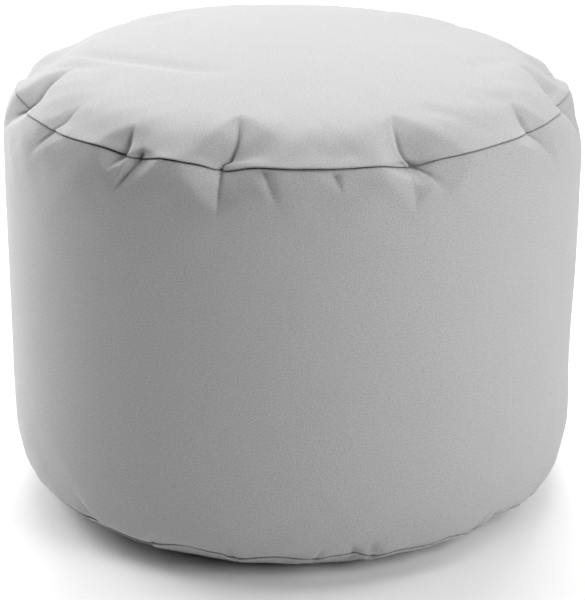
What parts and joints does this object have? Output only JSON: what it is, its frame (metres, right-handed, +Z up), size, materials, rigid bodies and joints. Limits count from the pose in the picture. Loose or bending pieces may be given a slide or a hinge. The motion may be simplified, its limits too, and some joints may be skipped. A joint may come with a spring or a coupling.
{
  "type": "bean bag footstool",
  "caption": "Round filled footstool in plain pale grey cloth: a bulging drum with a domed top panel, puckered sewn seams and a flat base panel to stand on.",
  "frame": {"origin": "on the floor, at the middle of the stool's base", "axes": "+Z up; -Y towards the side that the picture shows; +X to the right seen from there"},
  "size_m": [0.503, 0.5028, 0.4003],
  "materials": {
    "side_cloth": "plain pale grey coated cloth in a fine plain weave, matt with a slight sheen",
    "top_cloth": "the same plain pale grey cloth, lit from above",
    "base_cloth": "the same plain pale grey cloth"
  },
  "bodies": {
    "root": {"side_wall": "side_cloth", "top_panel": "top_cloth", "base_panel": "base_cloth"}
  },
  "joints": []
}
